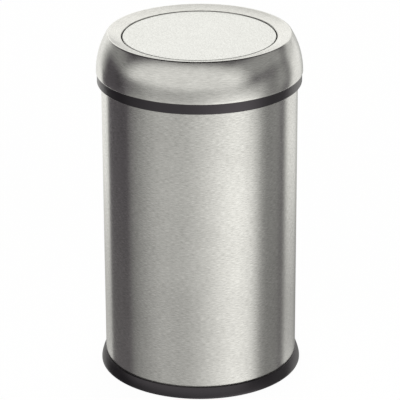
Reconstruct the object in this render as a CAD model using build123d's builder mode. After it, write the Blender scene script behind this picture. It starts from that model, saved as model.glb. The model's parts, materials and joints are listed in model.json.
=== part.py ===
from build123d import *
import os
from math import acos, cos, degrees, radians, sin

os.makedirs("parts", exist_ok=True)

# A round kitchen bin of about 50 litres with a swinging flap in its lift-off head.
# Millimetres. Z is up, the floor is at 0, and the user stands at the front, towards -Y.

# Outer tube
body_radius = 175.0
rim_height = 558.0
shell_wall = 0.8
shell_foot = 5.0
hem_depth = 9.0
hem_gap = 0.6

# Bottom plate, welded inside the foot of the tube
plate_height = 12.0
plate_wall = 0.8
plate_bend = 2.0
panel_rise = 3.0
panel_margin = 63.0
panel_slope = 6.0

# Base ring and the pads under it
base_ring_overhang = 7.5
base_ring_height = 21.2
base_ring_top_overhang = 2.9
base_kick_height = 6.3
base_kick_taper = 0.8
base_ring_lift = 1.2
base_edge = 1.2
base_ring_wall = 2.5
base_flange_width = 17.0
base_flange_thickness = 2.8
pad_count = 6
pad_radius = 4.5
pad_recess = 1.2
base_screw_count = 6
base_screw_radius = 2.0
base_screw_head_radius = 4.0
base_screw_head_height = 2.4
base_screw_length = 7.0
base_screw_inset = 10.0

# Head: a spun dome with a dished ring and a turned-down throat
dome_overhang = 1.6
dome_rise = 71.6
crest_inset = 20.6
dish_width = 25.4
dish_depth = 6.6
dish_sag = 0.5
dome_wall = 0.8
crest_bend = 2.4
throat_bend = 1.6
throat_lip_depth = 7.0
dome_flange_width = 10.0
dome_flange_bend = 1.2

# Band under the dome, which carries the head on the rim of the tube
band_overhang = 7.4
band_overlap = 14.7
band_wall = 3.0
band_deck = 3.0
band_edge = 1.0
skirt_wall = 2.5
skirt_depth = 20.0
skirt_clearance = 0.8
snap_rib_height = 5.0
snap_rib_wall = 2.5
snap_bead = 1.0
snap_bead_height = 2.0
centring_rib_count = 12
centring_rib_width = 2.0
centring_clearance = 0.6

# Throat ring, bonded under the dish
throat_ring_wall = 3.0
throat_ring_depth = 24.3
throat_flange_reach = 20.0
throat_flange_thickness = 2.2
throat_bond = 0.9
gusset_count = 12
gusset_width = 2.0
gusset_reach = 11.0
gusset_drop = 12.0

# Flap
flap_gap = 2.0
flap_drop = 0.5
flap_wall = 0.8
flap_rim_depth = 6.0
flap_edge_bend = 1.2
pivot_drop = 12.0
carrier_thickness = 2.5
carrier_rim_wall = 2.5
carrier_rim_depth = 7.0
carrier_rib_depth = 7.0
carrier_rib_width = 2.0
carrier_rib_spacing = 56.0
pin_radius = 3.0
pin_depth = 20.0
pin_boss_radius = 5.5
pin_boss_depth = 25.0
pin_boss_inset = 0.5
pin_head_radius = 5.0
pin_head_thickness = 2.0

# Counterweight under the flap
weight_length = 160.0
weight_width = 25.0
weight_height = 16.0
weight_drop = 27.0
weight_chamfer = 1.5
weight_screw_inset = 20.0
weight_boss_radius = 7.0
weight_boss_depth = 8.0
weight_spacer_radius = 6.0
weight_screw_radius = 2.5
weight_screw_head_radius = 4.5
weight_screw_head_height = 4.0
weight_screw_length = 38.0
weight_screw_recess = 4.6

# Pivot brackets and bushes
bracket_standoff = 1.9
bracket_thickness = 2.0
bracket_width = 34.0
bracket_rise = 8.2
bracket_foot = 16.0
bracket_bend = 1.5
bush_radius = 5.0
bush_inner_inset = 0.6
bush_proud = 2.0
bush_flange_radius = 7.0
bush_flange_thickness = 1.4
bracket_screw_offset = 9.0
bracket_screw_spacing = 22.0
bracket_boss_radius = 4.5
bracket_screw_radius = 2.0
bracket_screw_head_radius = 3.8
bracket_screw_head_height = 2.4
bracket_screw_length = 14.0

# Bucket
bucket_margin = 23.0
bucket_taper = 4.0
bucket_below_rim = 33.0
bucket_wall = 0.7
bucket_corner = 3.0
bucket_rim_bead = 2.6
bucket_floor_rise = 4.0
bucket_foot_width = 9.0
bucket_curl = 290.0
bucket_foot_slope = 3.0

# Ears and bail of the bucket
bail_below_bucket_rim = 19.0
bail_clearance = 10.0
bail_wire_radius = 2.5
bail_bend = 5.0
bail_button_radius = 4.0
bail_button_thickness = 1.2
ear_wall = 1.5
ear_standoff = 4.4
ear_face_width = 20.0
ear_arc = 19.0
ear_wing_arc = 4.6
ear_height = 20.0
ear_bend = 1.2
rivet_radius = 2.0
rivet_head_radius = 3.6
rivet_head_height = 1.2
rivet_arc = 15.0
grip_radius = 7.0
grip_arc = 40.0
grip_edge = 2.0

# Cross recess in every screw's head, as shares of its shank's radius
cross_length = 1.6
cross_width = 1 / 3

# Clearances
seat_gap = 0.3        # between pieces that lift off or slide past each other
fit_gap = 0.1         # between pieces that are fixed together
hinge_gap = 0.05      # between a pin and its bush
wire_gap = 0.7        # between the bail and its ears

# Places that follow from the sizes above
body_inside = body_radius - shell_wall
hem_inside = body_radius - 2 * shell_wall - hem_gap
panel_radius = body_radius - panel_margin
base_ring_radius = body_radius + base_ring_overhang
base_ring_top_radius = body_radius + base_ring_top_overhang
band_radius = body_radius + band_overhang
band_bottom = rim_height - band_overlap
skirt_bottom = rim_height - skirt_depth
deck_bottom = rim_height + seat_gap
dome_foot_height = deck_bottom + band_deck
dome_radius = band_radius + dome_overhang
crest_radius = dome_radius - crest_inset
crest_height = dome_foot_height + dome_rise
throat_radius = crest_radius - dish_width
throat_height = crest_height - dish_depth
throat_wall_inside = throat_radius + dome_wall + seat_gap
throat_wall_outside = throat_wall_inside + throat_ring_wall
throat_ring_bottom = throat_height - throat_ring_depth
throat_flange_radius = throat_radius + throat_flange_reach
flap_radius = throat_radius - flap_gap
flap_height = throat_height - flap_drop
pivot_height = flap_height - pivot_drop
pin_inner_end = flap_radius - pin_depth
pin_boss_inner_end = flap_radius - pin_boss_depth
pin_boss_outer_end = flap_radius - pin_boss_inset
bracket_face = throat_wall_outside + bracket_standoff
bracket_top = pivot_height + bracket_rise
bracket_screw_reach = bracket_face + bracket_screw_offset
bush_inner_end = throat_radius + bush_inner_inset
bush_outer_end = bracket_face + bracket_thickness + bush_proud
weight_top = pivot_height - weight_drop + weight_height / 2
carrier_top = flap_height - flap_wall - fit_gap
carrier_bottom = carrier_top - carrier_thickness
weight_boss_bottom = carrier_bottom - weight_boss_depth
weight_bottom = weight_top - weight_height
weight_screw_foot = weight_bottom + weight_screw_recess - fit_gap
weight_bore_end = weight_screw_foot + weight_screw_length + fit_gap
carrier_radius = flap_radius - flap_wall - 2 * fit_gap
bucket_radius = body_radius - bucket_margin
bucket_foot_radius = bucket_radius - bucket_taper
bucket_floor_radius = bucket_foot_radius - bucket_foot_width
bucket_height = rim_height - bucket_below_rim
bucket_bottom = plate_height + seat_gap
bail_height = bucket_height - bail_below_bucket_rim
bail_radius = bucket_radius + bail_clearance
ear_face = bucket_radius + ear_standoff
bail_tilt = degrees(acos((bucket_radius + seat_gap + grip_radius) / bail_radius))
bail_plane = Plane(
    origin=(0, 0, bail_height),
    x_dir=(1, 0, 0),
    z_dir=(0, sin(radians(bail_tilt)), cos(radians(bail_tilt))),
)


# The corner of a profile that is nearest to a place
def corner(profile, place):
    return profile.vertices().sort_by_distance(place)[0]


# Height of the bond under the dish, along the straight line from the throat to the crest
def bond_line(radius):
    slope = dish_depth / dish_width
    return throat_height + (radius - throat_radius) * slope - dome_wall - throat_bond


# Outer tube, rolled from sheet, its top edge folded inwards into a hem
hem_bend = (shell_wall + hem_gap) / 2
with BuildPart() as body_shell:
    with BuildSketch(Plane.XZ):
        with BuildLine():
            tube_line = body_radius - shell_wall / 2
            tube = Line((tube_line, shell_foot), (tube_line, rim_height - hem_bend - shell_wall / 2))
            fold = JernArc(tube @ 1, tube % 1, hem_bend, 180)
            Line(fold @ 1, fold @ 1 - (0, hem_depth))
        trace(line_width=shell_wall)
    revolve(axis=Axis.Z)
body_shell.part.label = "body_shell"
export_step(body_shell.part, "parts/body_shell.step")

# Bottom plate, with a raised panel and a flange turned down inside the foot of the tube
screw_circle = body_inside - base_screw_inset
with BuildPart() as bottom_plate:
    with BuildSketch(Plane.XZ):
        with BuildLine():
            plate_line = plate_height - plate_wall / 2
            flange_line = body_inside - fit_gap - plate_wall / 2
            FilletPolyline(
                (0, plate_line + panel_rise),
                (panel_radius, plate_line + panel_rise),
                (panel_radius + panel_slope, plate_line),
                (flange_line, plate_line),
                (flange_line, shell_foot),
                radius=plate_bend,
            )
        trace(line_width=plate_wall)
    revolve(axis=Axis.Z)
    with Locations((0, 0, plate_height)):
        with PolarLocations(screw_circle, base_screw_count):
            Cylinder(base_screw_radius + fit_gap, 4 * plate_wall, mode=Mode.SUBTRACT)
bottom_plate.part.label = "bottom_plate"
export_step(bottom_plate.part, "parts/bottom_plate.step")

# Base ring: a channel round the foot of the tube, with a flange under the bottom plate
ring_inside = body_inside - fit_gap - plate_wall - fit_gap
ring_underside = plate_height - plate_wall - fit_gap
flange_inside = ring_inside - base_flange_width
pad_circle = (ring_inside - base_ring_wall + base_ring_radius - base_edge) / 2
with BuildPart() as base_ring:
    with BuildSketch(Plane.XZ) as ring_profile:
        with BuildLine():
            Polyline(
                (ring_inside - base_ring_wall, base_ring_lift),
                (base_ring_radius, base_ring_lift),
                (base_ring_radius - base_kick_taper, base_kick_height),
                (base_ring_top_radius, base_ring_height),
                (body_radius + fit_gap, base_ring_height),
                (body_radius + fit_gap, shell_foot - fit_gap),
                (ring_inside, shell_foot - fit_gap),
                (ring_inside, ring_underside),
                (flange_inside, ring_underside),
                (flange_inside, ring_underside - base_flange_thickness),
                (ring_inside - base_ring_wall, ring_underside - base_flange_thickness),
                close=True,
            )
        make_face()
        fillet(corner(ring_profile, (base_ring_radius, base_ring_lift)), radius=base_edge)
        fillet(corner(ring_profile, (base_ring_top_radius, base_ring_height)), radius=base_edge)
        fillet(corner(ring_profile, (ring_inside, ring_underside)), radius=plate_bend)
    revolve(axis=Axis.Z)
    with Locations((0, 0, base_ring_lift)):
        with PolarLocations(pad_circle, pad_count, start_angle=180 / pad_count):
            Cylinder(pad_radius + fit_gap, 2 * pad_recess, mode=Mode.SUBTRACT)
    with Locations((0, 0, ring_underside)):
        with PolarLocations(screw_circle, base_screw_count):
            Cylinder(base_screw_radius + fit_gap, 4 * base_flange_thickness, mode=Mode.SUBTRACT)
base_ring.part.label = "base_ring"
export_step(base_ring.part, "parts/base_ring.step")

# Round rubber pads, pressed into the underside of the base ring
with BuildPart() as anti_slip_pads:
    with PolarLocations(pad_circle, pad_count, start_angle=180 / pad_count):
        Cylinder(
            pad_radius,
            base_ring_lift + pad_recess - fit_gap,
            align=(Align.CENTER, Align.CENTER, Align.MIN),
        )
anti_slip_pads.part.label = "anti_slip_pads"
export_step(anti_slip_pads.part, "parts/anti_slip_pads.step")


# A pan-head screw that points up, with the underside of its head at the origin
def pan_screw(shank_radius, shank_length, head_radius, head_height):
    with BuildPart() as screw:
        with BuildSketch(Plane.XY.offset(-head_height)):
            Circle(head_radius)
        extrude(amount=head_height)
        fillet(screw.edges().group_by(Axis.Z)[0], radius=head_height / 3)
        with BuildSketch(Plane.XY):
            Circle(shank_radius)
        extrude(amount=shank_length)
        chamfer(screw.edges().group_by(Axis.Z)[-1], length=shank_radius / 3)
        with BuildSketch(Plane.XY.offset(-head_height)):
            Rectangle(cross_length * shank_radius, cross_width * shank_radius)
            Rectangle(cross_width * shank_radius, cross_length * shank_radius)
        extrude(amount=head_height / 2, mode=Mode.SUBTRACT)
    return screw.part


# Screws that hold the base ring to the bottom plate, put in from below
base_screw = pan_screw(base_screw_radius, base_screw_length, base_screw_head_radius, base_screw_head_height)
with BuildPart() as base_screws:
    with Locations((0, 0, ring_underside - base_flange_thickness - fit_gap)):
        with PolarLocations(screw_circle, base_screw_count):
            add(base_screw)
base_screws.part.label = "base_screws"
export_step(base_screws.part, "parts/base_screws.step")

# Dome, spun from one sheet: foot flange, side, crest, dished ring and turned-down throat
with BuildPart() as dome_shell:
    with BuildSketch(Plane.XZ):
        with BuildLine() as dome_path:
            half_wall = dome_wall / 2
            foot = Vector(dome_radius - half_wall, dome_foot_height + half_wall)
            crest = Vector(crest_radius, crest_height - half_wall)
            throat = Vector(throat_radius + half_wall, throat_height - half_wall)
            Line(foot - (dome_flange_width, 0), foot)
            TangentArc(foot, crest, tangent=(0, 1))
            SagittaArc(crest, throat, dish_sag)
            Line(throat, throat - (0, throat_lip_depth))
            fillet(corner(dome_path, foot), radius=dome_flange_bend)
            fillet(corner(dome_path, crest), radius=crest_bend)
            fillet(corner(dome_path, throat), radius=throat_bend)
        trace(line_width=dome_wall)
    revolve(axis=Axis.Z)
dome_shell.part.label = "dome_shell"
export_step(dome_shell.part, "parts/dome_shell.step")

# Band: a channel over the rim of the tube, whose deck and snap rib hold the foot of the dome
skirt_radius = hem_inside - skirt_clearance
snap_rib_radius = dome_radius - dome_flange_width - dome_wall / 2 - fit_gap
snap_bead_bottom = dome_foot_height + dome_wall + fit_gap
centring_inside = body_radius + centring_clearance
centring_outside = band_radius - band_wall
with BuildPart() as head_band:
    with BuildSketch(Plane.XZ) as band_profile:
        with BuildLine():
            Polyline(
                (band_radius, band_bottom),
                (band_radius, dome_foot_height),
                (snap_rib_radius, dome_foot_height),
                (snap_rib_radius, snap_bead_bottom),
                (snap_rib_radius + snap_bead, snap_bead_bottom),
                (snap_rib_radius, snap_bead_bottom + snap_bead_height),
                (snap_rib_radius, dome_foot_height + snap_rib_height),
                (snap_rib_radius - snap_rib_wall, dome_foot_height + snap_rib_height),
                (snap_rib_radius - snap_rib_wall, dome_foot_height),
                (skirt_radius - skirt_wall, deck_bottom),
                (skirt_radius - skirt_wall, skirt_bottom),
                (skirt_radius, skirt_bottom),
                (skirt_radius, deck_bottom),
                (band_radius - band_wall, deck_bottom),
                (band_radius - band_wall, band_bottom),
                close=True,
            )
        make_face()
        fillet(corner(band_profile, (band_radius, band_bottom)), radius=band_edge)
        fillet(corner(band_profile, (skirt_radius, skirt_bottom)), radius=band_edge)
    revolve(axis=Axis.Z)
    with BuildSketch(Plane.XY.offset(band_bottom + band_edge)):
        with PolarLocations((centring_inside + centring_outside) / 2, centring_rib_count):
            Rectangle(centring_outside - centring_inside + fit_gap, centring_rib_width)
    extrude(amount=deck_bottom - band_bottom - band_edge)
head_band.part.label = "head_band"
export_step(head_band.part, "parts/head_band.step")

# Gusset between the wall and the flange of the throat ring
gusset_top = bond_line(throat_wall_outside) - throat_flange_thickness / 2
with BuildPart() as gusset:
    with BuildSketch(Plane.XZ):
        with BuildLine():
            Polyline(
                (throat_wall_outside - fit_gap, gusset_top - gusset_drop),
                (throat_wall_outside - fit_gap, gusset_top),
                (throat_wall_outside + gusset_reach, gusset_top),
                close=True,
            )
        make_face()
    extrude(amount=gusset_width / 2, both=True)

# Throat ring: it stiffens the throat of the dome and carries the pivot brackets
bracket_foot_bottom = throat_ring_bottom - bracket_thickness - fit_gap
boss_inside = bracket_screw_reach - bracket_boss_radius
boss_top = bond_line(boss_inside) - throat_flange_thickness / 2
bracket_screw_places = [
    (side * bracket_screw_reach, end * bracket_screw_spacing / 2) for side in (-1, 1) for end in (-1, 1)
]
with BuildPart() as throat_ring:
    with BuildSketch(Plane.XZ) as throat_profile:
        with BuildLine():
            flange_start = bond_line(throat_wall_inside)
            flange_end = bond_line(throat_flange_radius)
            lip_end = throat_height - throat_lip_depth - seat_gap - dome_wall / 2
            Polyline(
                (throat_radius, throat_ring_bottom),
                (throat_wall_outside, throat_ring_bottom),
                (throat_wall_outside, bond_line(throat_wall_outside) - throat_flange_thickness),
                (throat_flange_radius, flange_end - throat_flange_thickness),
                (throat_flange_radius, flange_end),
                (throat_wall_inside, flange_start),
                (throat_wall_inside, lip_end),
                (throat_radius, lip_end),
                close=True,
            )
        make_face()
        fillet(corner(throat_profile, (throat_wall_inside, flange_start)), radius=throat_bend)
    revolve(axis=Axis.Z)
    with PolarLocations(0, gusset_count, start_angle=180 / gusset_count):
        add(gusset.part)
    with BuildSketch(Plane.XY.offset(throat_ring_bottom)):
        with Locations(bracket_screw_places):
            Circle(bracket_boss_radius)
    extrude(amount=boss_top - throat_ring_bottom)
    with BuildSketch(Plane.XY.offset(throat_ring_bottom)):
        with Locations(bracket_screw_places):
            Circle(bracket_screw_radius + hinge_gap)
    extrude(amount=bracket_screw_length, mode=Mode.SUBTRACT)
    with BuildSketch(Plane.YZ):
        with Locations((0, pivot_height)):
            Circle(bush_radius + seat_gap)
    extrude(amount=throat_wall_outside, both=True, mode=Mode.SUBTRACT)
throat_ring.part.label = "throat_ring"
export_step(throat_ring.part, "parts/throat_ring.step")


# Pivot bracket, bent from plate, on the right (side 1) or the left (side -1)
def pivot_bracket(side):
    with BuildPart() as bracket:
        with BuildSketch(Plane.XZ):
            with BuildLine():
                foot_line = throat_ring_bottom - fit_gap - bracket_thickness / 2
                face_line = bracket_face + bracket_thickness / 2
                FilletPolyline(
                    (side * face_line, bracket_top),
                    (side * face_line, foot_line),
                    (side * (bracket_face + bracket_foot), foot_line),
                    radius=bracket_bend,
                )
            trace(line_width=bracket_thickness)
        extrude(amount=bracket_width / 2, both=True)
        top_corners = bracket.edges().filter_by(Axis.X).group_by(Axis.Z)[-1]
        fillet(top_corners, radius=bush_radius)
        with BuildSketch(Plane.YZ):
            with Locations((0, pivot_height)):
                Circle(bush_radius + fit_gap)
        extrude(amount=side * (bracket_face + bracket_foot), mode=Mode.SUBTRACT)
        with BuildSketch(Plane.XY.offset(bracket_foot_bottom - fit_gap)):
            with Locations(bracket_screw_places):
                Circle(bracket_screw_radius + fit_gap)
        extrude(amount=2 * bracket_thickness, mode=Mode.SUBTRACT)
    return bracket.part


# Flanged nylon bush, pressed into its bracket, bored for the pivot pin
def pivot_bush(side):
    with BuildPart() as bush:
        with BuildSketch(Plane.YZ.offset(side * bush_inner_end)):
            with Locations((0, pivot_height)):
                Circle(bush_radius)
        extrude(amount=side * (bush_outer_end - bush_inner_end))
        with BuildSketch(Plane.YZ.offset(side * (bracket_face - fit_gap))):
            with Locations((0, pivot_height)):
                Circle(bush_flange_radius)
        extrude(amount=-side * bush_flange_thickness)
        with BuildSketch(Plane.YZ):
            with Locations((0, pivot_height)):
                Circle(pin_radius + hinge_gap)
        extrude(amount=side * (bush_outer_end + bush_radius), mode=Mode.SUBTRACT)
    return bush.part


# Headed steel pivot pin, fixed in the boss of the flap carrier
def pivot_pin(side):
    with BuildPart() as pin:
        with BuildSketch(Plane.YZ.offset(side * pin_inner_end)):
            with Locations((0, pivot_height)):
                Circle(pin_radius)
        extrude(amount=side * (bush_outer_end + seat_gap - pin_inner_end))
        with BuildSketch(Plane.YZ.offset(side * (bush_outer_end + seat_gap))):
            with Locations((0, pivot_height)):
                Circle(pin_head_radius)
        extrude(amount=side * pin_head_thickness)
        outer_rim = pin.edges().filter_by(GeomType.CIRCLE).sort_by(Axis.X)[-1 if side > 0 else 0]
        fillet(outer_rim, radius=pin_head_thickness / 3)
    return pin.part


with BuildPart() as pivot_bracket_right:
    add(pivot_bracket(1))
pivot_bracket_right.part.label = "pivot_bracket_right"
export_step(pivot_bracket_right.part, "parts/pivot_bracket_right.step")

with BuildPart() as pivot_bracket_left:
    add(pivot_bracket(-1))
pivot_bracket_left.part.label = "pivot_bracket_left"
export_step(pivot_bracket_left.part, "parts/pivot_bracket_left.step")

with BuildPart() as pivot_bush_right:
    add(pivot_bush(1))
pivot_bush_right.part.label = "pivot_bush_right"
export_step(pivot_bush_right.part, "parts/pivot_bush_right.step")

with BuildPart() as pivot_bush_left:
    add(pivot_bush(-1))
pivot_bush_left.part.label = "pivot_bush_left"
export_step(pivot_bush_left.part, "parts/pivot_bush_left.step")

with BuildPart() as pivot_pin_right:
    add(pivot_pin(1))
pivot_pin_right.part.label = "pivot_pin_right"
export_step(pivot_pin_right.part, "parts/pivot_pin_right.step")

with BuildPart() as pivot_pin_left:
    add(pivot_pin(-1))
pivot_pin_left.part.label = "pivot_pin_left"
export_step(pivot_pin_left.part, "parts/pivot_pin_left.step")

# Screws that hold the brackets to the throat ring, put in from below
bracket_screw = pan_screw(
    bracket_screw_radius, bracket_screw_length, bracket_screw_head_radius, bracket_screw_head_height
)
with BuildPart() as bracket_screws:
    with Locations([(x, y, bracket_foot_bottom - fit_gap) for x, y in bracket_screw_places]):
        add(bracket_screw)
bracket_screws.part.label = "bracket_screws"
export_step(bracket_screws.part, "parts/bracket_screws.step")

# Steel disc of the flap, with a turned-down rim
with BuildPart() as flap_disc:
    with BuildSketch(Plane.XZ):
        with BuildLine():
            disc_line = flap_height - flap_wall / 2
            rim_line = flap_radius - flap_wall / 2
            FilletPolyline(
                (0, disc_line),
                (rim_line, disc_line),
                (rim_line, flap_height - flap_rim_depth),
                radius=flap_edge_bend,
            )
        trace(line_width=flap_wall)
    revolve(axis=Axis.Z)
flap_disc.part.label = "flap_disc"
export_step(flap_disc.part, "parts/flap_disc.step")

# Moulded carrier under the disc, with ribs, two pin bosses and two bosses for the counterweight's screws
weight_screw_places = [(side * (weight_length / 2 - weight_screw_inset), 0) for side in (-1, 1)]
with BuildPart() as flap_carrier:
    with BuildSketch(Plane.XY.offset(carrier_bottom)):
        Circle(carrier_radius)
    extrude(amount=carrier_thickness)
    fillet(flap_carrier.edges().group_by(Axis.Z)[-1], radius=flap_edge_bend)
    with BuildSketch(Plane.XY.offset(carrier_bottom)):
        Circle(carrier_radius)
        Circle(carrier_radius - carrier_rim_wall, mode=Mode.SUBTRACT)
    extrude(amount=-carrier_rim_depth)
    with BuildSketch(Plane.XY.offset(carrier_bottom)):
        with GridLocations(0, carrier_rib_spacing, 1, 3):
            Rectangle(2 * carrier_radius, carrier_rib_width)
        with GridLocations(carrier_rib_spacing, 0, 3, 1):
            Rectangle(carrier_rib_width, 2 * carrier_radius)
        Circle(carrier_radius - carrier_rim_wall / 2, mode=Mode.INTERSECT)
    extrude(amount=-carrier_rib_depth)
    with BuildSketch(Plane.XY.offset(carrier_bottom)):
        with Locations(weight_screw_places):
            Circle(weight_boss_radius)
    extrude(amount=-weight_boss_depth)
    for side in (-1, 1):
        with BuildSketch(Plane.YZ.offset(side * pin_boss_inner_end)):
            with Locations((0, pivot_height)):
                Circle(pin_boss_radius)
            with Locations((0, (pivot_height + carrier_bottom) / 2)):
                Rectangle(pin_boss_radius, carrier_bottom - pivot_height)
        extrude(amount=side * (carrier_radius - carrier_rim_wall - pin_boss_inner_end))
        with BuildSketch(Plane.YZ.offset(side * pin_boss_inner_end)):
            with Locations((0, pivot_height)):
                Circle(pin_boss_radius)
        extrude(amount=side * (pin_boss_outer_end - pin_boss_inner_end))
        with BuildSketch(Plane.YZ.offset(side * (pin_inner_end - fit_gap))):
            with Locations((0, pivot_height)):
                Circle(pin_radius + hinge_gap)
        extrude(amount=side * throat_radius, mode=Mode.SUBTRACT)
    with BuildSketch(Plane.XY.offset(weight_boss_bottom)):
        with Locations(weight_screw_places):
            Circle(weight_screw_radius + hinge_gap)
    extrude(amount=weight_bore_end - weight_boss_bottom, mode=Mode.SUBTRACT)
flap_carrier.part.label = "flap_carrier"
export_step(flap_carrier.part, "parts/flap_carrier.step")

# Steel bar that swings the flap level again
with BuildPart() as counterweight:
    with BuildSketch(Plane.XY.offset(weight_bottom)):
        Rectangle(weight_length, weight_width)
    extrude(amount=weight_height)
    chamfer(counterweight.edges(), length=weight_chamfer)
    with BuildSketch(Plane.XY.offset(weight_bottom)):
        with Locations(weight_screw_places):
            Circle(weight_screw_radius + fit_gap)
    extrude(amount=weight_height, mode=Mode.SUBTRACT)
    with BuildSketch(Plane.XY.offset(weight_bottom)):
        with Locations(weight_screw_places):
            Circle(weight_screw_head_radius + seat_gap)
    extrude(amount=weight_screw_recess, mode=Mode.SUBTRACT)
counterweight.part.label = "counterweight"
export_step(counterweight.part, "parts/counterweight.step")

# Sleeves round the counterweight's screws, which hold the bar away from the carrier
with BuildPart() as weight_spacers:
    with BuildSketch(Plane.XY.offset(weight_top + fit_gap)):
        with Locations(weight_screw_places):
            Circle(weight_spacer_radius)
            Circle(weight_screw_radius + fit_gap, mode=Mode.SUBTRACT)
    extrude(amount=weight_boss_bottom - weight_top - 2 * fit_gap)
weight_spacers.part.label = "weight_spacers"
export_step(weight_spacers.part, "parts/weight_spacers.step")

# Screws that hold the counterweight, with their heads sunk into the bar
weight_screw = pan_screw(
    weight_screw_radius, weight_screw_length, weight_screw_head_radius, weight_screw_head_height
)
with BuildPart() as counterweight_screws:
    with Locations([(x, y, weight_screw_foot) for x, y in weight_screw_places]):
        add(weight_screw)
counterweight_screws.part.label = "counterweight_screws"
export_step(counterweight_screws.part, "parts/counterweight_screws.step")

# Galvanised bucket that lifts out, with a stepped floor and a curled rim
with BuildPart() as bucket:
    with BuildSketch(Plane.XZ):
        with BuildLine():
            floor_line = bucket_bottom + bucket_wall / 2
            bead_reach = bucket_rim_bead + bucket_wall / 2
            shape = FilletPolyline(
                (0, floor_line + bucket_floor_rise),
                (bucket_floor_radius, floor_line + bucket_floor_rise),
                (bucket_floor_radius + bucket_foot_slope, floor_line),
                (bucket_foot_radius - bucket_wall / 2, floor_line),
                (bucket_radius - bucket_wall / 2, bucket_height - bead_reach),
                radius=[plate_bend, plate_bend, bucket_corner],
            )
            JernArc(shape @ 1, shape % 1, bucket_rim_bead, -bucket_curl)
        trace(line_width=bucket_wall)
    revolve(axis=Axis.Z)
    with Locations((0, 0, bail_height)):
        for middle in (0, 180):
            with PolarLocations(bucket_radius, 2, middle - rivet_arc / 2, rivet_arc, endpoint=True):
                Cylinder(rivet_radius + fit_gap, 4 * ear_wall, rotation=(0, 90, 0), mode=Mode.SUBTRACT)
bucket.part.label = "bucket"
export_step(bucket.part, "parts/bucket.step")


# Pressed ear for the bail: two wings riveted to the bucket and a raised face between them
def bail_ear(side):
    wing_line = bucket_radius + fit_gap + ear_wall / 2
    face_line = ear_face + ear_wall / 2
    with BuildPart() as ear:
        with BuildSketch(Plane.XY.offset(bail_height - ear_height / 2)):
            with BuildLine() as ear_path:
                wing = CenterArc((0, 0), wing_line, -ear_arc / 2, ear_wing_arc)
                far_wing = CenterArc((0, 0), wing_line, ear_arc / 2, -ear_wing_arc)
                Polyline(
                    wing @ 1,
                    (face_line, -ear_face_width / 2),
                    (face_line, ear_face_width / 2),
                    far_wing @ 1,
                )
                fillet(ear_path.vertices().sort_by(Axis.Y)[1:-1], radius=ear_bend)
            trace(line_width=ear_wall)
        extrude(amount=ear_height)
        with BuildSketch(Plane.YZ.offset(ear_face - ear_wall)):
            with Locations((0, bail_height)):
                Circle(bail_wire_radius + wire_gap)
        extrude(amount=3 * ear_wall, mode=Mode.SUBTRACT)
        with Locations((0, 0, bail_height)):
            with PolarLocations(wing_line, 2, -rivet_arc / 2, rivet_arc, endpoint=True):
                Cylinder(rivet_radius + fit_gap, 4 * ear_wall, rotation=(0, 90, 0), mode=Mode.SUBTRACT)
    return ear.part if side > 0 else mirror(ear.part, about=Plane.YZ)


with BuildPart() as bail_ear_right:
    add(bail_ear(1))
bail_ear_right.part.label = "bail_ear_right"
export_step(bail_ear_right.part, "parts/bail_ear_right.step")

with BuildPart() as bail_ear_left:
    add(bail_ear(-1))
bail_ear_left.part.label = "bail_ear_left"
export_step(bail_ear_left.part, "parts/bail_ear_left.step")

# Rivet through a wing of an ear and the wall of the bucket, pointing along X
rivet_inner = bucket_radius - 2 * bucket_wall
rivet_outer = bucket_radius + 2 * fit_gap + ear_wall
with BuildPart() as rivet:
    with BuildSketch(Plane.YZ.offset(rivet_inner)):
        Circle(rivet_radius)
    extrude(amount=rivet_outer - rivet_inner)
    with BuildSketch(Plane.YZ.offset(rivet_inner)):
        Circle(rivet_head_radius)
    extrude(amount=-rivet_head_height)
    with BuildSketch(Plane.YZ.offset(rivet_outer)):
        Circle(rivet_head_radius)
    extrude(amount=rivet_head_height)
    fillet(rivet.edges().filter_by(GeomType.CIRCLE).sort_by(Axis.X)[0], radius=rivet_head_height / 2)
    fillet(rivet.edges().filter_by(GeomType.CIRCLE).sort_by(Axis.X)[-1], radius=rivet_head_height / 2)
with BuildPart() as ear_rivets:
    with Locations((0, 0, bail_height)):
        for middle in (0, 180):
            with PolarLocations(0, 2, middle - rivet_arc / 2, rivet_arc, endpoint=True):
                add(rivet.part)
ear_rivets.part.label = "ear_rivets"
export_step(ear_rivets.part, "parts/ear_rivets.step")

# Wire bail, folded back against the bucket, its ends turned in through the ears and upset
bail_end = ear_face - wire_gap - bail_button_thickness
with BuildPart() as bail_handle:
    with BuildLine(bail_plane) as bail_path:
        Line((bail_end, 0), (bail_radius, 0))
        CenterArc((0, 0), bail_radius, 0, 180)
        Line((-bail_radius, 0), (-bail_end, 0))
        bends = bail_path.vertices().filter_by(lambda v: abs(abs(v.X) - bail_radius) < fit_gap)
        fillet(bends, radius=bail_bend)
    with BuildSketch(Plane(origin=(bail_end, 0, bail_height), z_dir=(1, 0, 0))):
        Circle(bail_wire_radius)
    sweep()
    for side in (-1, 1):
        with BuildSketch(Plane.YZ.offset(side * bail_end)):
            with Locations((0, bail_height)):
                Circle(bail_button_radius)
        extrude(amount=side * bail_button_thickness)
bail_handle.part.label = "bail_handle"
export_step(bail_handle.part, "parts/bail_handle.step")

# Moulded grip on the middle of the bail
with BuildPart() as handle_grip:
    with BuildSketch(Plane.XZ):
        with Locations((bail_radius, 0)):
            Circle(grip_radius)
    revolve(axis=Axis.Z, revolution_arc=grip_arc)
    fillet(handle_grip.edges().filter_by(GeomType.CIRCLE), radius=grip_edge)
    with BuildSketch(Plane.XZ):
        with Locations((bail_radius, 0)):
            Circle(bail_wire_radius + fit_gap)
    revolve(axis=Axis.Z, revolution_arc=grip_arc, mode=Mode.SUBTRACT)
turned_grip = bail_plane.location * Rot(0, 0, 90 - grip_arc / 2) * handle_grip.part
turned_grip.label = "handle_grip"
export_step(turned_grip, "parts/handle_grip.step")
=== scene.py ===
import bmesh
import bpy
import json
import math
from mathutils import Matrix, Vector


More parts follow.
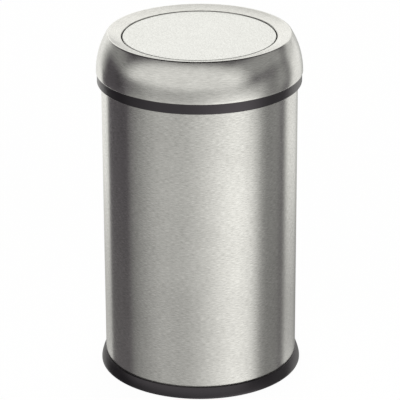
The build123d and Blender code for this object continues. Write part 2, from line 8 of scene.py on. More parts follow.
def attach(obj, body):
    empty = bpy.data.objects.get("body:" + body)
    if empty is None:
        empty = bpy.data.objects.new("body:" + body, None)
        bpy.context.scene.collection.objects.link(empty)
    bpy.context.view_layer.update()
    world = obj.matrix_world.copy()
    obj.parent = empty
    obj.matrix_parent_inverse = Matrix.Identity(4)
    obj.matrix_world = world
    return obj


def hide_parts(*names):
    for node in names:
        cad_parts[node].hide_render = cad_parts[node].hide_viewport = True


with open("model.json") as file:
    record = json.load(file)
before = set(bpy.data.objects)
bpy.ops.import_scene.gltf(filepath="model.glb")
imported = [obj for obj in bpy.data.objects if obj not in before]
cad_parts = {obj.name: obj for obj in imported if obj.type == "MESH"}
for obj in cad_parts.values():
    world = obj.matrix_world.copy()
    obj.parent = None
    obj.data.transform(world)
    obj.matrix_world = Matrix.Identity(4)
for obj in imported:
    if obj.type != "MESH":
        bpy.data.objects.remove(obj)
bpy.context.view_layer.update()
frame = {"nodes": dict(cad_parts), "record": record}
nodes = frame["nodes"]
mm = 0.001    # sizes below are in millimetres, and Blender's are in metres
print("frame loaded:", len(nodes), "nodes")


# Camera, far away with a long lens and looking down, fitted to the photo's rims
view = {
    "distance": 4097,    # in front of the bin's axis
    "height": 1992,      # above the floor
    "pitch": 22.304,     # degrees below the horizon
    "roll": 0.243,       # degrees
    "lens": 219.65,
    "sensor": 36,
    "clip": 60,          # how far it sees, in metres
}
cameraData = bpy.data.cameras.new("camera")
cameraData.lens = view["lens"]
cameraData.sensor_width = view["sensor"]
cameraData.clip_end = view["clip"]
camera = bpy.data.objects.new("camera", cameraData)
bpy.context.scene.collection.objects.link(camera)
tilt = Matrix.Rotation(math.radians(90 - view["pitch"]), 4, "X")
roll = Matrix.Rotation(math.radians(-view["roll"]), 4, "Z")
stand = Matrix.Translation((0, -view["distance"] * mm, view["height"] * mm))
camera.matrix_world = stand @ tilt @ roll
bpy.context.scene.camera = camera
bpy.context.scene.view_settings.view_transform = "Standard"


# sRGB hex to the linear colour that shaders take
def fromHex(text):
    channels = [int(text[i:i + 2], 16) / 255 for i in (1, 3, 5)]
    return [c / 12.92 if c <= 0.04045 else ((c + 0.055) / 1.055) ** 2.4 for c in channels] + [1]


# A node with its settings and links. Each input, by name or number, is a value, a socket to link or a
# node that gives its first output.
def addNode(tree, kind, settings=None, inputs=None):
    node = tree.nodes.new("ShaderNode" + kind)
    for name, value in (settings or {}).items():
        setattr(node, name, value)
    for name, value in (inputs or {}).items():
        if isinstance(value, bpy.types.Node):
            value = value.outputs[0]
        if isinstance(value, bpy.types.NodeSocket):
            tree.links.new(value, node.inputs[name])
        else:
            node.inputs[name].default_value = value
    return node


# Studio: a white sweep behind that narrows at its top, an octabox above the camera, a dimmer fill
# below it and a key low on the right, under a dark ceiling. Hardly anything is lit on the far left,
# and that is the dark band down the steel. A level below 0 is a flag, which takes light away.
# Azimuth runs from the front (0) to the right (90), and elevation up from the horizon, in degrees.
# Edge is how far the left and right sides fade either way. Lift is how far the top fades, and the
# bottom too where it has no foot of its own. The sides of a taper close in between two heights, by so
# much for each degree up.
studio = {
    "ambient": 0.06,
    "dimTint": "#fff5ff", "brightTint": "#fffffb",    # dark parts of the room are a little mauve
    "tintAt": 0.18, "tintSoft": 0.12,
    "cards": {
        "whiteSweep": {
            "azimuth": (120, 225), "elevation": (-120, -12), "edge": (8, 2), "lift": 4, "level": 0.94,
        },
        "sweepTop": {
            "azimuth": (121, 225), "elevation": (-12, 61), "edge": (9, 16), "lift": 4,
            "level": 0.95, "taper": (6, 31, 0.9),
        },
        "highFlag": {
            "azimuth": (125, 150), "elevation": (-1, 14), "edge": (6, 8), "lift": 4, "level": -0.36,
        },
        "sweepGlow": {
            "azimuth": (160, 200), "elevation": (6, 40), "edge": (12, 12), "lift": 6, "level": 0.15,
        },
        "rightFlag": {
            "azimuth": (154, 177), "elevation": (-120, 12), "edge": (9, 3), "lift": 6, "level": -0.42,
        },
        "leftShade": {
            "azimuth": (186, 207), "elevation": (-120, -6), "edge": (3, 6), "lift": 6, "level": -0.10,
        },
        "leftGlow": {
            "azimuth": (-132, -103), "elevation": (-120, 0), "edge": (4, 7), "lift": 5, "level": 0.021,
        },
        "rightShade": {
            "azimuth": (128, 174), "elevation": (-120, -18), "edge": (14, 3), "lift": 8, "level": -0.20,
        },
        "octabox": {
            "azimuth": (-92, 51), "elevation": (2, 42), "edge": (14, 14), "lift": 8, "foot": 5,
            "level": 0.83, "lean": 0.25,
        },
        "ceiling": {
            "azimuth": (-182, 182), "elevation": (54, 200), "edge": (1, 1), "lift": 7, "level": -0.058,
        },
        "frontFill": {
            "azimuth": (-68, 62), "elevation": (-120, 2), "edge": (26, 24), "lift": 5, "level": 0.34,
        },
        "fillEdge": {
            "azimuth": (-92, 62), "elevation": (-120, 0), "edge": (2, 24), "lift": 5, "level": 0.05,
        },
        "fillLow": {
            "azimuth": (-89, 66), "elevation": (-120, -15), "edge": (6, 14), "lift": 8, "level": 0.13,
        },
        "key": {
            "azimuth": (11, 70), "elevation": (-120, -3), "edge": (40, 18), "lift": 8, "level": 0.42,
        },
        "keyLow": {
            "azimuth": (22, 69), "elevation": (-120, -18), "edge": (44, 10), "lift": 8, "level": 0.50,
        },
        "floorBounce": {
            "azimuth": (-182, 182), "elevation": (-120, -20), "edge": (1, 1), "lift": 9, "level": 0.07,
        },
        "rightWall": {
            "azimuth": (65, 108), "elevation": (-120, 6), "edge": (8, 8), "lift": 10, "level": 0.18,
        },
        "rightLow": {
            "azimuth": (95, 120), "elevation": (-14, 14), "edge": (10, 6), "lift": 4, "level": 0.13,
        },
        "rightHigh": {
            "azimuth": (38, 115), "elevation": (11, 34), "edge": (14, 10), "lift": 5, "level": 0.29,
        },
        "leftHigh": {
            "azimuth": (-150, -95), "elevation": (5, 22), "edge": (10, 8), "lift": 5, "level": 0.25,
        },
    },
}


# The product of soft steps. Each has a value, its limit, how far it fades either way, and what it is
# below and above.
def softMask(tree, *steps):
    product = 1
    for value, limit, soft, ends in steps:
        edge = addNode(tree, "MapRange", {"interpolation_type": "SMOOTHSTEP"}, {
            "Value": value, "From Min": limit - soft, "From Max": limit + soft,
            "To Min": ends[0], "To Max": ends[1],
        })
        product = addNode(tree, "Math", {"operation": "MULTIPLY"}, {0: product, 1: edge})
    return product


# Adds one soft-edged card to the world's light and gives the new sum
def addCard(tree, azimuth, elevation, card, total):
    left, right = card["azimuth"]
    low, high = card["elevation"]
    half = (right - left) / 2
    across = addNode(tree, "Math", {"operation": "SUBTRACT"}, {0: azimuth, 1: (left + right) / 2})
    across = addNode(tree, "Math", {"operation": "WRAP"}, {0: across, 1: 180, 2: -180})
    if "lean" in card:
        # The sides close in like an ellipse on the way up, and the middle leans to the right
        climb = addNode(tree, "Math", {"operation": "SUBTRACT"}, {0: elevation, 1: low})
        climb = addNode(tree, "Math", {"operation": "MAXIMUM"}, {0: climb, 1: 0})
        lean = addNode(tree, "Math", {"operation": "MULTIPLY"}, {0: climb, 1: card["lean"]})
        across = addNode(tree, "Math", {"operation": "SUBTRACT"}, {0: across, 1: lean})
        climb = addNode(tree, "Math", {"operation": "MULTIPLY"}, {0: climb, 1: half / (high - low)})
        flat = addNode(tree, "CombineXYZ", None, {"X": across, "Y": climb})
        reach = addNode(tree, "VectorMath", {"operation": "LENGTH"}, {0: flat}).outputs["Value"]
        sides = [(reach, half, card["edge"][1], (1, 0))]
    else:
        leftSide = rightSide = across
        if "taper" in card:
            start, end, rate = card["taper"]
            inwards = addNode(tree, "MapRange", None, {
                "Value": elevation, "From Min": start, "From Max": end, "To Max": rate * (end - start),
            })
            leftSide = addNode(tree, "Math", {"operation": "SUBTRACT"}, {0: across, 1: inwards})
            rightSide = addNode(tree, "Math", {"operation": "ADD"}, {0: across, 1: inwards})
        sides = [
            (leftSide, -half, card["edge"][0], (0, 1)),
            (rightSide, half, card["edge"][1], (1, 0)),
        ]
    foot = card.get("foot", card["lift"])
    upright = [(elevation, high, card["lift"], (1, 0)), (elevation, low, foot, (0, 1))]
    mask = softMask(tree, *sides, *upright)
    return addNode(tree, "Math", {"operation": "MULTIPLY_ADD"}, {0: mask, 1: card["level"], 2: total})


# The azimuth of a direction, or of a place seen from the bin's axis, in degrees
def azimuthOf(tree, direction):
    axes = addNode(tree, "SeparateXYZ", None, {0: direction})
    front = addNode(tree, "Math", {"operation": "MULTIPLY"}, {0: axes.outputs["Y"], 1: -1})
    angle = addNode(tree, "Math", {"operation": "ARCTAN2"}, {0: axes.outputs["X"], 1: front})
    return addNode(tree, "Math", {"operation": "DEGREES"}, {0: angle})


def makeWorld():
    world = bpy.data.worlds.new("studio")
    bpy.context.scene.world = world
    world.use_nodes = True
    tree = world.node_tree
    tree.nodes.clear()
    direction = addNode(tree, "TexCoord").outputs["Generated"]
    azimuth = azimuthOf(tree, direction)
    height = addNode(tree, "SeparateXYZ", None, {0: direction}).outputs["Z"]
    elevation = addNode(tree, "Math", {"operation": "ARCSINE"}, {0: height})
    elevation = addNode(tree, "Math", {"operation": "DEGREES"}, {0: elevation})
    total = studio["ambient"]
    for card in studio["cards"].values():
        total = addCard(tree, azimuth, elevation, card, total)
    # Flags take away no more light than there is
    total = addNode(tree, "Math", {"operation": "MAXIMUM"}, {0: total, 1: 0})
    lit = softMask(tree, (total, studio["tintAt"], studio["tintSoft"], (0, 1)))
    colour = addNode(tree, "Mix", {"data_type": "RGBA"}, {
        "Factor": lit, 6: fromHex(studio["dimTint"]), 7: fromHex(studio["brightTint"]),
    }).outputs[2]
    light = addNode(tree, "Background", None, {"Color": colour, "Strength": total})
    white = addNode(tree, "Background", None, {"Color": (1, 1, 1, 1), "Strength": 1})
    seen = addNode(tree, "LightPath").outputs["Is Camera Ray"]
    mixed = addNode(tree, "MixShader", None, {0: seen, 1: light, 2: white})
    addNode(tree, "OutputWorld", None, {"Surface": mixed})


makeWorld()


# Floor: white to the camera, and in the steel's reflection grey close to the bin, mostly behind it: a
# painted shadow of the bin
floor = {
    "size": 14000, "glow": 0.96, "albedo": 0.12,
    "shade": 0.13, "shadeTint": "#fffaf8", "cover": 0.5,
    "from": 300, "to": 1400,                     # how far from the axis the shade thins out
    "behind": 85, "fade": 25, "inFront": 0.5,    # azimuth where it is full, softness, share in front
}


def makeFloor():
    half = floor["size"] / 2 * mm
    mesh = bpy.data.meshes.new("floor")
    corners = [(-half, -half, 0), (half, -half, 0), (half, half, 0), (-half, half, 0)]
    mesh.from_pydata(corners, [], [(0, 1, 2, 3)])
    piece = bpy.data.objects.new("floor", mesh)
    bpy.context.scene.collection.objects.link(piece)
    material = bpy.data.materials.new("studioFloor")
    material.use_nodes = True
    tree = material.node_tree
    tree.nodes.clear()
    glow = addNode(tree, "Emission", None, {"Color": (1, 1, 1, 1), "Strength": floor["glow"]})
    paint = addNode(tree, "BsdfDiffuse", None, {"Color": [floor["albedo"]] * 3 + [1]})
    white = addNode(tree, "AddShader", None, {0: glow, 1: paint})
    place = addNode(tree, "TexCoord").outputs["Object"]
    reach = addNode(tree, "VectorMath", {"operation": "LENGTH"}, {0: place}).outputs["Value"]
    aside = addNode(tree, "Math", {"operation": "ABSOLUTE"}, {0: azimuthOf(tree, place)})
    middle = (floor["from"] + floor["to"]) / 2 * mm
    soft = (floor["to"] - floor["from"]) / 2 * mm
    # The painted shadow of the bin: the share of grey that the steel sees in place of the world below,
    # full near the bin and behind it
    near = (reach, middle, soft, (floor["cover"], 0))
    behind = (aside, floor["behind"], floor["fade"], (floor["inFront"], 1))
    cover = softMask(tree, near, behind)
    clear = addNode(tree, "BsdfTransparent")
    grey = {"Color": fromHex(floor["shadeTint"]), "Strength": floor["shade"]}
    shade = addNode(tree, "Emission", None, grey)
    reflected = addNode(tree, "MixShader", None, {0: cover, 1: clear, 2: shade})
    seen = addNode(tree, "LightPath").outputs["Is Camera Ray"]
    both = addNode(tree, "MixShader", None, {0: seen, 1: reflected, 2: white})
    addNode(tree, "OutputMaterial", None, {"Surface": both})
    mesh.materials.append(material)
    for ray in ("visible_diffuse", "visible_transmission", "visible_shadow"):
        setattr(piece, ray, False)    # the sweep's own light comes from the world


makeFloor()
print("camera, studio and floor made")


# Tube, up here because the brushed finish is rolled out round it
tube = {"radius": 175, "foot": 5, "rim": 558, "wall": 0.8, "hemDepth": 9, "hemGap": 0.6}


# Materials

# A new material, its tree, its shader and the object's own coordinates in millimetres
def startMaterial(name, **values):
    material = bpy.data.materials.new(name)
    material.use_nodes = True
    tree = material.node_tree
    shader = tree.nodes["Principled BSDF"]
    for socket, value in values.items():
        shader.inputs[socket.replace("_", " ")].default_value = value
    place = addNode(tree, "VectorMath", {"operation": "SCALE"}, {
        0: addNode(tree, "TexCoord").outputs["Object"], "Scale": 1 / mm,
    })
    return material, tree, shader, place


usual = (0.3, 0.7)    # most of a noise lies between these


# Colour and roughness that follow a noise
def wornBy(tree, wear, look):
    low, high = look.get("contrast", usual)
    share = addNode(tree, "MapRange", None, {"Value": wear, "From Min": low, "From Max": high})
    colour = addNode(tree, "Mix", {"data_type": "RGBA"}, {
        "Factor": share, 6: fromHex(look["dark"]), 7: fromHex(look["light"]),
    })
    gloss = addNode(tree, "MapRange", None, {
        "Value": wear, "From Min": usual[0], "From Max": usual[1],
        "To Min": look["roughness"][0], "To Max": look["roughness"][1],
    })
    return colour.outputs[2], gloss.outputs[0]


# A steel's grain with a little of the sheet's broad clouds in it
def clouded(tree, place, grain, look):
    clouds = addNode(tree, "TexNoise", None, {
        "Vector": place, "Scale": 1 / look["clouds"], "Detail": 3,
    })
    return addNode(tree, "Mix", {"data_type": "FLOAT"}, {
        "Factor": look["cloudShare"], 2: grain, 3: clouds,
    })


# Gives the shader its colour and roughness, and a bump so many millimetres deep over any other one
def dress(tree, shader, colour, roughness, grain, depth, under=None):
    inputs = {"Height": grain, "Distance": depth * mm}
    if under is not None:
        inputs["Normal"] = under
    bump = addNode(tree, "Bump", None, inputs).outputs[0]
    for socket, source in (("Base Color", colour), ("Roughness", roughness), ("Normal", bump)):
        tree.links.new(source, shader.inputs[socket])


# The place rolled out flat round the bin's axis: length round the tube, distance from the axis, height
def unrolled(tree, place):
    length = addNode(tree, "Math", {"operation": "MULTIPLY"}, {
        0: azimuthOf(tree, place), 1: math.radians(tube["radius"]),
    })
    flat = addNode(tree, "VectorMath", {"operation": "MULTIPLY"}, {0: place, 1: (1, 1, 0)})
    reach = addNode(tree, "VectorMath", {"operation": "LENGTH"}, {0: flat}).outputs["Value"]
    height = addNode(tree, "SeparateXYZ", None, {0: place}).outputs["Z"]
    return addNode(tree, "CombineXYZ", None, {"X": length, "Y": reach, "Z": height})


# Stainless steel sheet, brushed level with an abrasive belt: fine scratches that run round the axis
# spread each highlight up and down, and keep its sides sharp. Real scratches are 0.05 mm wide, and
# are drawn wider here, because finer ones don't show.
tubeFinish = {
    "streak": (9.0, 1.1, 1.1),    # length round the axis, and width both ways, in mm
    "clouds": 60, "cloudShare": 0.15,
    "dark": "#c3c2bf", "light": "#eeedea", "contrast": (0.35, 0.65),
    "roughness": (0.20, 0.24), "anisotropy": 0.55,
    "relief": 0.002, "waves": 0.003, "waveSize": (90, 30, 30),
    "seam": 1.6, "seamColour": "#9c9a96", "seamRise": 0.05,    # weld down the back, ground smooth
}
# The dome is spun and then brushed by hand: its scratches are shorter, and the sheet is a little wavy
domeFinish = {
    "streak": (11.0, 1.2, 1.2),
    "clouds": 22, "cloudShare": 0.2,
    "dark": "#cccbc8", "light": "#e7e6e3", "contrast": (0.35, 0.65),
    "roughness": (0.17, 0.22), "anisotropy": 0.4,
    "relief": 0.004, "waves": 0.024, "waveSize": (40, 14, 14),
}


def brushedSteel(name, look):
    # The quarter turn lays the scratches along the tangent
    material, tree, shader, place = startMaterial(
        name, Metallic=1.0, Anisotropic=look["anisotropy"], Anisotropic_Rotation=0.25,
    )
    rolled = unrolled(tree, place)
    drawn = addNode(tree, "VectorMath", {"operation": "DIVIDE"}, {0: rolled, 1: look["streak"]})
    streaks = addNode(tree, "TexNoise", None, {
        "Vector": drawn, "Scale": 1, "Detail": 3, "Roughness": 0.6,
    })
    colour, gloss = wornBy(tree, clouded(tree, place, streaks, look), look)
    broad = addNode(tree, "VectorMath", {"operation": "DIVIDE"}, {0: rolled, 1: look["waveSize"]})
    waves = addNode(tree, "TexNoise", None, {"Vector": broad, "Scale": 1})
    bump = addNode(tree, "Bump", None, {"Height": waves, "Distance": look["waves"] * mm})
    if "seam" in look:
        # The sheet's ends meet where the rolled-out length is greatest
        length = addNode(tree, "SeparateXYZ", None, {0: rolled}).outputs["X"]
        length = addNode(tree, "Math", {"operation": "ABSOLUTE"}, {0: length})
        limit = math.pi * tube["radius"] - look["seam"] / 2
        weld = softMask(tree, (length, limit, look["seam"] / 4, (0, 1)))
        colour = addNode(tree, "Mix", {"data_type": "RGBA"}, {
            "Factor": weld, 6: colour, 7: fromHex(look["seamColour"]),
        }).outputs[2]
        bump = addNode(tree, "Bump", None, {
            "Height": weld, "Distance": look["seamRise"] * mm, "Normal": bump,
        })
    dress(tree, shader, colour, gloss, streaks, look["relief"], bump)
    tangent = addNode(tree, "Tangent", {"direction_type": "RADIAL", "axis": "Z"})
    tree.links.new(tangent.outputs[0], shader.inputs["Tangent"])
    return material


# The flap's stainless disc is finished with a matt grain that runs no particular way
flapFinish = {
    "grain": 2.4, "clouds": 45, "cloudShare": 0.06,
    "dark": "#d5d5d2", "light": "#fbfbf9", "contrast": (0.35, 0.65),
    "roughness": (0.34, 0.40), "relief": 0.003,
}


def grainedSteel(name, look):
    material, tree, shader, place = startMaterial(name, Metallic=1.0)
    grain = addNode(tree, "TexNoise", None, {
        "Vector": place, "Scale": 1 / look["grain"], "Detail": 3, "Roughness": 0.6,
    })
    colour, gloss = wornBy(tree, clouded(tree, place, grain, look), look)
    dress(tree, shader, colour, gloss, grain, look["relief"])
    return material


# Moulded plastic or rubber: an even colour and a fine spark-eroded grain, rubbed here and there
plastic = {"clouds": 35, "grain": 0.9, "relief": 0.006}
# Thick black paint on a bar: an even colour, and a skin with soft, coarse ripples
thickPaint = {"clouds": 35, "grain": 2.4, "relief": 0.03}
# Zinc plate on steel: bright, with slight clouds from the bath
zincPlate = {"clouds": 9, "grain": 0.8, "relief": 0.003}


def evenSkin(name, skin, dark, light, roughness, **values):
    material, tree, shader, place = startMaterial(name, **values)
    wear = addNode(tree, "TexNoise", None, {
        "Vector": place, "Scale": 1 / skin["clouds"], "Detail": 4,
    })
    colour, gloss = wornBy(tree, wear, {"dark": dark, "light": light, "roughness": roughness})
    grain = addNode(tree, "TexNoise", None, {"Vector": place, "Scale": 1 / skin["grain"]})
    dress(tree, shader, colour, gloss, grain, skin["relief"])
    return material


# Hot-dip galvanised sheet: frost-like crystals of zinc, each with its own shade and gloss
zincCoat = {
    "crystal": 9, "ragged": 6, "shift": 5,    # the crystals, and how their edges wander, in mm
    "dark": "#a9adb0", "light": "#c6c9cb", "roughness": (0.30, 0.52),
    "grain": 1.1, "relief": 0.004,
}


def galvanised(name, look):
    material, tree, shader, place = startMaterial(name, Metallic=1.0)
    wander = addNode(tree, "TexNoise", None, {
        "Vector": place, "Scale": 1 / look["ragged"], "Detail": 3,
    })
    shifted = addNode(tree, "VectorMath", {"operation": "MULTIPLY_ADD"}, {
        0: wander, 1: [look["shift"]] * 3, 2: place,
    })
    cells = addNode(tree, "TexVoronoi", None, {"Vector": shifted, "Scale": 1 / look["crystal"]})
    shade = addNode(tree, "SeparateColor", None, {0: cells.outputs["Color"]})
    colour = addNode(tree, "Mix", {"data_type": "RGBA"}, {
        "Factor": shade, 6: fromHex(look["dark"]), 7: fromHex(look["light"]),
    }).outputs[2]
    gloss = addNode(tree, "MapRange", None, {
        "Value": shade.outputs[1], "To Min": look["roughness"][0], "To Max": look["roughness"][1],
    }).outputs[0]
    grain = addNode(tree, "TexNoise", None, {
        "Vector": place, "Scale": 1 / look["grain"], "Detail": 3,
    })
    dress(tree, shader, colour, gloss, grain, look["relief"])
    return material


finishes = {
    "brushed_steel_tube": brushedSteel("brushedSteelTube", tubeFinish),
    "brushed_steel_dome": brushedSteel("brushedSteelDome", domeFinish),
    "brushed_steel_flap": grainedSteel("grainedSteelFlap", flapFinish),
    "black_abs": evenSkin(
        "blackAbs", plastic, "#0e0e10", "#131315", (0.28, 0.34),
        IOR=1.54, Specular_IOR_Level=0.7, Specular_Tint=fromHex("#fff4ff"),
    ),
    "grey_polypropylene": evenSkin(
        "greyPolypropylene", plastic, "#3b3c3f", "#434447", (0.5, 0.6), IOR=1.49,
    ),
    "natural_nylon": evenSkin("naturalNylon", plastic, "#e6e1d2", "#efebdf", (0.4, 0.5), IOR=1.53),
    "zinc_plated_sheet": evenSkin(
        "zincPlatedSheet", zincPlate, "#b9bcc0", "#cfd1d3", (0.24, 0.34), Metallic=1.0,
    ),
    "plated_steel": evenSkin(
        "platedSteel", zincPlate, "#c2c4c6", "#d8d9d9", (0.18, 0.28), Metallic=1.0,
    ),
    "galvanised_sheet": galvanised("galvanisedSheet", zincCoat),
    "painted_bar": evenSkin("paintedBar", thickPaint, "#1b1b1c", "#242425", (0.4, 0.52)),
    "rubber_pad": evenSkin("rubberPad", plastic, "#141414", "#1b1b1a", (0.7, 0.8)),
    "black_grip": evenSkin("blackGrip", plastic, "#151516", "#1c1c1d", (0.3, 0.38), IOR=1.49),
}
print("materials made:", len(finishes))


# Every CAD node gets its finish
slotOf = {part["node"]: part["material_slot"] for part in frame["record"]["subparts"]}
bodies = frame["record"]["behaviour"]["bodies"]
bodyOf = {name: body for body, names in bodies.items() for name in names}
for name, node in nodes.items():
    node.data.materials.clear()
    node.data.materials.append(finishes[slotOf[name]])


# Profiles are (distance from the axis, height) in millimetres

# A run of corners, each with the radius that rounds it as a third number, or none
def rounded(corners, steps=8):
    points = []
    for i, (reach, height, *radius) in enumerate(corners):
        here = Vector((reach, height))
        if not radius:
            points.append(here)
            continue
        before = (Vector(corners[i - 1][:2]) - here).normalized()
        after = (Vector(corners[(i + 1) % len(corners)][:2]) - here).normalized()
        half = before.angle(after) / 2
        middle = here + (before + after).normalized() * radius[0] / math.sin(half)
        first = here + before * radius[0] / math.tan(half) - middle
        last = here + after * radius[0] / math.tan(half) - middle
        turn = math.pi - 2 * half
        for k in range(steps + 1):
            share = k / steps * turn
            spoke = (first * math.sin(turn - share) + last * math.sin(share)) / math.sin(turn)
            points.append(middle + spoke)
    return points


# The outline of a sheet of even thickness along a line through its middle, mitred at each corner
def sheetOutline(line, wall):
    sides = ([], [])
    for i, here in enumerate(line):
        before = (here - line[max(i - 1, 0)]).normalized()
        after = (line[min(i + 1, len(line) - 1)] - here).normalized()
        along = (before + after).normalized()
        reach = wall / 2 / (along.dot(after) or along.dot(before))
        offset = Vector((-along.y, along.x)) * reach
        sides[0].append(here + offset)
        sides[1].append(here - offset)
    return sides[0] + sides[1][::-1]


# Turns an outline about the bin's axis and lets the piece stand for its node
def spin(name, outline, node, segments=240):
    vertices = []
    rings = []
    for reach, height in outline:
        if reach < 0.01:    # on the axis, where a ring is one point
            rings.append([len(vertices)] * segments)
            vertices.append((0, 0, height * mm))
            continue
        rings.append(range(len(vertices), len(vertices) + segments))
        for i in range(segments):
            angle = 2 * math.pi * i / segments
            vertices.append((reach * mm * math.cos(angle), reach * mm * math.sin(angle), height * mm))
    faces = []
    for k, ring in enumerate(rings):
        below = rings[k - 1]
        for i in range(segments):
            j = (i + 1) % segments
            face = list(dict.fromkeys((below[i], below[j], ring[j], ring[i])))
            if len(face) > 2:
                faces.append(face)
    addPiece(name, vertices, faces, node)


# A mesh piece that rides with its node's body, has its node's finish and is shown in its place. Edges
# that turn more than the sharp angle, in degrees, stay sharp.
def addPiece(name, vertices, faces, node, sharp=40):
    mesh = bpy.data.meshes.new(name)
    mesh.from_pydata(vertices, [], faces)
    shape = bmesh.new()
    shape.from_mesh(mesh)
    bmesh.ops.recalc_face_normals(shape, faces=shape.faces)
    shape.to_mesh(mesh)
    shape.free()
    mesh.shade_smooth()
    mesh.set_sharp_from_angle(angle=math.radians(sharp))
    mesh.materials.append(finishes[slotOf[node]])
    piece = bpy.data.objects.new(name, mesh)
    bpy.context.scene.collection.objects.link(piece)
    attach(piece, bodyOf[node])
    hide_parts(node)


# Tube, rolled from 0.8 mm sheet, with its top edge folded inwards into a hem

def makeTube():
    outside = tube["radius"] - tube["wall"] / 2
    inside = outside - tube["wall"] - tube["hemGap"]
    bend = (outside - inside) / 2
    arc = 0.999 * bend    # a hair less, so that the two arcs of the bend don't share a point
    top = tube["rim"] - tube["wall"] / 2
    line = rounded([
        (outside, tube["foot"]), (outside, top, arc), (inside, top, arc),
        (inside, top - bend - tube["hemDepth"]),
    ])
    spin("steelTube", sheetOutline(line, tube["wall"]), "body_shell")


makeTube()

# Dome, spun from 0.8 mm sheet: foot flange, side, crest, dish and turned-down throat
dome = {
    "foot": (184, 561.3), "flange": 10, "footBend": 1.2,
    "crest": (162.9, 633.0), "crestBend": 3.2,
    "throat": (138, 626.3), "throatBend": 1.6, "lip": 7,
    "dishSag": 0.5, "wall": 0.8, "sideSteps": 24, "dishSteps": 7,
}


def makeDome():
    half = dome["wall"] / 2
    foot = Vector(dome["foot"]) + Vector((-half, half))
    crest = Vector(dome["crest"]) - Vector((0, half))
    throat = Vector(dome["throat"]) + Vector((half, -half))
    # The side is an arc that leaves the foot upright and passes through the crest
    rise = crest.y - foot.y
    inset = foot.x - crest.x
    radius = (rise ** 2 + inset ** 2) / (2 * inset)
    sweep = math.asin(rise / radius)
    side = []
    for i in range(1, dome["sideSteps"]):
        angle = sweep * i / dome["sideSteps"]
        side.append((foot.x - radius * (1 - math.cos(angle)), foot.y + radius * math.sin(angle)))
    dish = []
    for i in range(1, dome["dishSteps"]):
        share = i / dome["dishSteps"]
        sag = 4 * dome["dishSag"] * share * (1 - share)
        dish.append(tuple(crest.lerp(throat, share) - Vector((0, sag))))
    line = rounded([
        (foot.x - dome["flange"], foot.y), (foot.x, foot.y, dome["footBend"]), *side,
        (crest.x, crest.y, dome["crestBend"]), *dish,
        (throat.x, throat.y, dome["throatBend"]), (throat.x, throat.y - dome["lip"]),
    ], steps=10)
    spin("steelDome", sheetOutline(line, dome["wall"]), "dome_shell")


makeDome()

# Band under the dome: a channel over the rim of the tube, with a snap rib for the dome's flange
band = {
    "radius": 182.4, "bottom": 543.3, "top": 561.3, "wall": 3,
    "ribRadius": 173.5, "ribTop": 566.3, "bead": 1, "beadAt": (562.2, 564.2),
    "deck": 558.3, "skirtRadius": 172, "skirtWall": 2.5, "skirtBottom": 538,
    "edge": 1, "smallEdge": 0.4, "beadEdge": 0.2, "corner": 0.6,
}


def makeBand():
    rib = band["ribRadius"]
    ribInside = rib - band["skirtWall"]
    inside = band["skirtRadius"] - band["skirtWall"]
    channel = band["radius"] - band["wall"]
    beadFoot, beadTop = band["beadAt"]
    small = band["smallEdge"]
    outline = rounded([
        (band["radius"], band["bottom"], band["edge"]), (band["radius"], band["top"]),
        (rib, band["top"]), (rib, beadFoot), (rib + band["bead"], beadFoot, band["beadEdge"]),
        (rib, beadTop), (rib, band["ribTop"], small), (ribInside, band["ribTop"], small),
        (ribInside, band["top"]), (inside, band["deck"]), (inside, band["skirtBottom"], small),
        (band["skirtRadius"], band["skirtBottom"], band["edge"]),
        (band["skirtRadius"], band["deck"], band["corner"]), (channel, band["deck"], band["corner"]),
        (channel, band["bottom"], small),
    ])
    spin("headBand", outline, "head_band")


makeBand()

# Base ring: a channel round the foot of the tube, whose outside bulges a little
base = {
    "radius": 183.1, "bottom": 0.2, "footEdge": 1.1, "upright": 4,
    "topRadius": 177.9, "top": 21.2, "bulge": 0.5, "topEdge": 1.6,
    "slotOutside": 175.1, "slotInside": 173.2, "slotFloor": 4.9, "slotEdge": 0.3,
    "flange": 156.2, "flangeTop": 11.1, "flangeBottom": 8.3, "wallInside": 170.7,
    "smallEdge": 0.4, "lowCorner": 0.6, "highCorner": 1, "steps": 10,
}


def makeBase():
    low = Vector((base["radius"], base["upright"]))
    high = Vector((base["topRadius"], base["top"]))
    outward = Vector((high.y - low.y, low.x - high.x)).normalized()
    side = []
    for i in range(base["steps"]):
        share = i / base["steps"]
        point = low.lerp(high, share) + outward * base["bulge"] * 4 * share * (1 - share)
        side.append(tuple(point))
    small = base["smallEdge"]
    outline = rounded([
        (base["wallInside"], base["bottom"], small),
        (base["radius"], base["bottom"], base["footEdge"]), *side,
        (high.x, high.y, base["topEdge"]), (base["slotOutside"], high.y, base["slotEdge"]),
        (base["slotOutside"], base["slotFloor"]), (base["slotInside"], base["slotFloor"]),
        (base["slotInside"], base["flangeTop"], base["highCorner"]),
        (base["flange"], base["flangeTop"], small), (base["flange"], base["flangeBottom"], small),
        (base["wallInside"], base["flangeBottom"], base["lowCorner"]),
    ])
    spin("baseRing", outline, "base_ring")


makeBase()

# Flap disc, pressed from 0.8 mm sheet
flap = {"radius": 136, "top": 625.8, "wall": 0.8, "rim": 6, "bend": 1.2, "rings": 6}


def makeFlap():
    edge = flap["radius"] - flap["wall"] / 2
    middle = flap["top"] - flap["wall"] / 2
    inner = [(edge * i / flap["rings"], middle) for i in range(flap["rings"])]
    line = rounded([*inner, (edge, middle, flap["bend"]), (edge, flap["top"] - flap["rim"])], steps=10)
    spin("steelFlap", sheetOutline(line, flap["wall"]), "flap_disc")


makeFlap()

# Bucket of 0.7 mm galvanised sheet, with a stepped floor and a curled rim
bucket = {
    "foot": 148, "top": 152, "rim": 525, "bottom": 12.3, "wall": 0.7,
    "floor": 139, "floorRise": 4, "slope": 3, "bend": 2, "corner": 3,
    "bead": 2.6, "curl": 290, "curlSteps": 24,
}


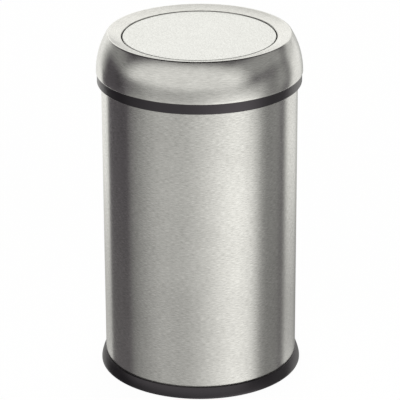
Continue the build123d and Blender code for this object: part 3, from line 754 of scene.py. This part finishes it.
def makeBucket():
    half = bucket["wall"] / 2
    low = bucket["bottom"] + half
    high = bucket["rim"] - bucket["bead"] - half
    foot = Vector((bucket["foot"] - half, low))
    top = Vector((bucket["top"] - half, high))
    line = rounded([
        (0, low + bucket["floorRise"]),
        (bucket["floor"], low + bucket["floorRise"], bucket["bend"]),
        (bucket["floor"] + bucket["slope"], low, bucket["bend"]),
        (foot.x, foot.y, bucket["corner"]),
        (top.x, top.y),
    ])
    # The rim is curled outwards round a circle that the wall runs into
    lean = math.atan2(top.x - foot.x, top.y - foot.y)
    centre = top + Vector((math.cos(lean), -math.sin(lean))) * bucket["bead"]
    for i in range(1, bucket["curlSteps"] + 1):
        angle = math.pi - lean - math.radians(bucket["curl"]) * i / bucket["curlSteps"]
        line.append(centre + Vector((math.cos(angle), math.sin(angle))) * bucket["bead"])
    spin("galvanisedBucket", sheetOutline(line, bucket["wall"]), "bucket")


makeBucket()

# Grip of the bail, moulded with finger ribs, on an arc that hangs back against the bucket
grip = {
    "height": 506, "reach": 162, "lean": 10.475, "arc": 40, "radius": 7, "bore": 2.6,
    "groove": 0.7, "ribs": 16, "endBend": 2, "plainEnd": 6, "steps": 160, "sides": 32,
}


def makeGrip():
    across = Vector((1, 0, 0))
    lean = math.radians(grip["lean"])
    back = Vector((0, math.cos(lean), -math.sin(lean)))
    square = across.cross(back)
    length = math.radians(grip["arc"]) * grip["reach"]
    stations = [(0, grip["bore"])]
    for i in range(grip["steps"] + 1):
        along = length * i / grip["steps"]
        fromEnd = min(along, length - along)
        radius = grip["radius"]
        bend = grip["endBend"]
        if fromEnd < bend:
            radius -= bend - math.sqrt(bend ** 2 - (bend - fromEnd) ** 2)
        elif fromEnd > grip["plainEnd"]:
            wave = math.cos(2 * math.pi * grip["ribs"] * along / length)
            radius -= grip["groove"] * (0.5 - 0.5 * wave) ** 2
        stations.append((along, radius))
    stations.append((length, grip["bore"]))
    vertices = []
    for along, radius in stations:
        angle = math.radians(90 - grip["arc"] / 2) + along / grip["reach"]
        out = across * math.cos(angle) + back * math.sin(angle)
        centre = Vector((0, 0, grip["height"])) + out * grip["reach"]
        for j in range(grip["sides"]):
            turn = 2 * math.pi * j / grip["sides"]
            vertices.append((centre + (out * math.cos(turn) + square * math.sin(turn)) * radius) * mm)
    faces = []
    for i in range(len(stations) - 1):
        for j in range(grip["sides"]):
            k = (j + 1) % grip["sides"]
            row = i * grip["sides"]
            faces.append((row + j, row + k, row + grip["sides"] + k, row + grip["sides"] + j))
    addPiece("ribbedGrip", vertices, faces, "handle_grip")


makeGrip()
print("pieces made")
